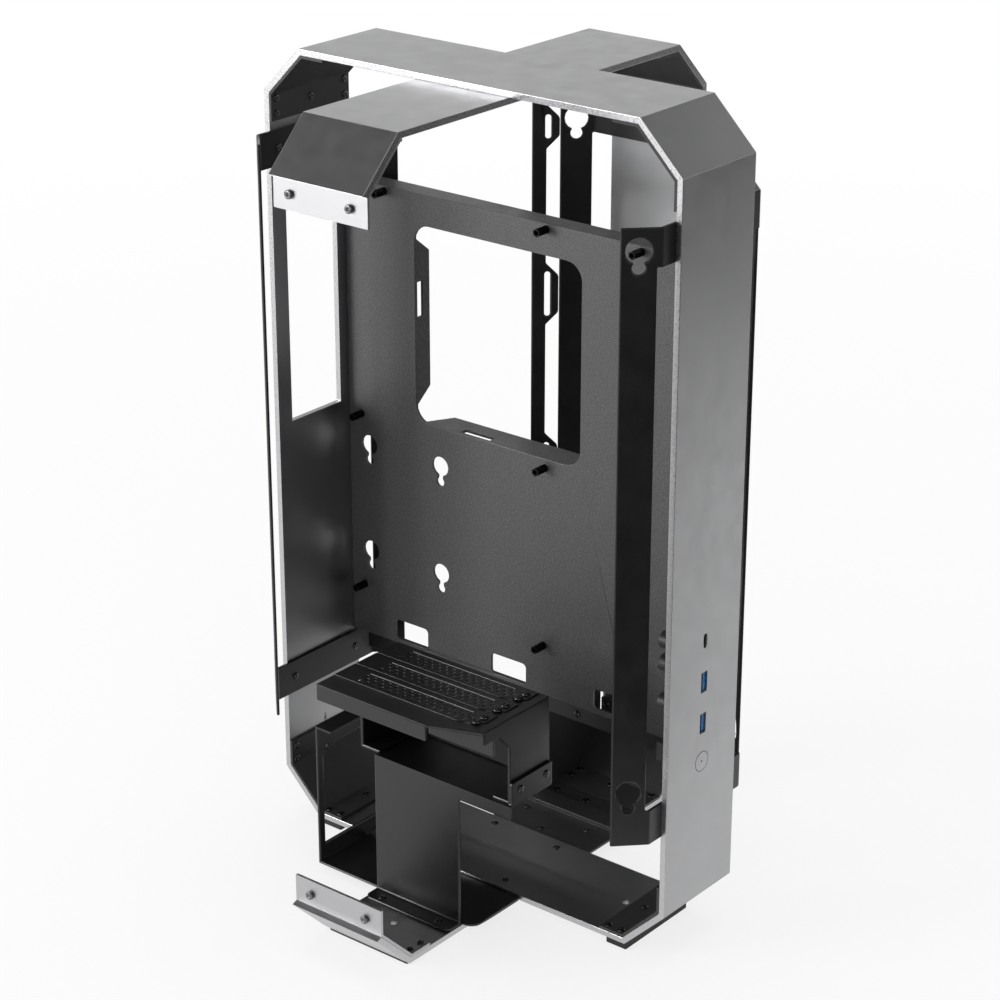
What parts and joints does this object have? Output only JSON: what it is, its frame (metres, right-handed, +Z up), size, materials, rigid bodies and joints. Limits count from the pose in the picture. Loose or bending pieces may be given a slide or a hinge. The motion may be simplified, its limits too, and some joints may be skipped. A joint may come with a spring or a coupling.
{
  "type": "tower pc case",
  "caption": "Open tower computer case: crossed chamfered aluminium hoops around a black motherboard tray, with slot box, power supply cage, front ports and a push button.",
  "frame": {"origin": "centre of the footprint, on the floor under the pads", "axes": "+Z up, -Y towards the front with the ports, -X towards the open near side of the cross loop"},
  "size_m": [0.327, 0.319, 0.539],
  "materials": {
    "anodised_aluminium": "satin",
    "bright_aluminium": "satin",
    "corner_plate": "satin",
    "black_steel": "matt powder coat",
    "black_screw": "satin black",
    "tray_steel": "fine textured powder coat",
    "standoff_steel": "black plated",
    "pin_steel": "dark plated",
    "port_steel": "plated",
    "blue_plastic": "moulded",
    "board": "lacquered",
    "black_plastic": "moulded",
    "button_aluminium": "satin",
    "pad_rubber": "matt"
  },
  "bodies": {
    "chassis": {"button_switch": "black_plastic", "cover_pins": "pin_steel", "cross_far_leg": "anodised_aluminium", "cross_loop_bottom": "anodised_aluminium", "cross_loop_top": "anodised_aluminium", "crossing_screws": "black_screw", "far_floor": "black_steel", "floor_screws": "black_screw", "frame_far": "black_steel", "frame_front": "black_steel", "frame_rear": "black_steel", "frame_screws": "black_screw", "holder_knobs": "black_plastic", "join_far_bottom": "corner_plate", "join_far_top": "corner_plate", "join_front_bottom": "corner_plate", "join_front_top": "corner_plate", "join_near_bottom": "bright_aluminium", "join_near_top": "bright_aluminium", "join_rear_bottom": "corner_plate", "join_rear_top": "corner_plate", "join_screws": "black_screw", "main_front_leg": "anodised_aluminium", "main_loop_bottom": "anodised_aluminium", "main_loop_top": "anodised_aluminium", "main_rear_leg": "anodised_aluminium", "motherboard_tray": "tray_steel", "pad_far": "pad_rubber", "pad_front": "pad_rubber", "pad_near": "pad_rubber", "pad_rear": "pad_rubber", "port_board": "board", "port_holder": "black_steel", "psu_cage": "black_steel", "radiator_rail": "black_steel", "rail_screws": "black_screw", "slot_box": "black_steel", "slot_cover_1": "black_steel", "slot_cover_2": "black_steel", "slot_cover_3": "black_steel", "slot_screws": "black_screw", "standoffs": "standoff_steel", "support_panel": "black_steel", "support_screws": "black_screw", "tray_rail": "black_steel", "usb_a_shells": "port_steel", "usb_a_tongues": "blue_plastic", "usb_c_port": "port_steel"},
    "button": {"power_button": "button_aluminium"}
  },
  "joints": [
    {"name": "button_press", "type": "slide", "parent": "chassis", "child": "button", "axis": [0, 1, 0], "range_m": [0, 0.001], "stiffness_N_per_m": 400}
  ]
}
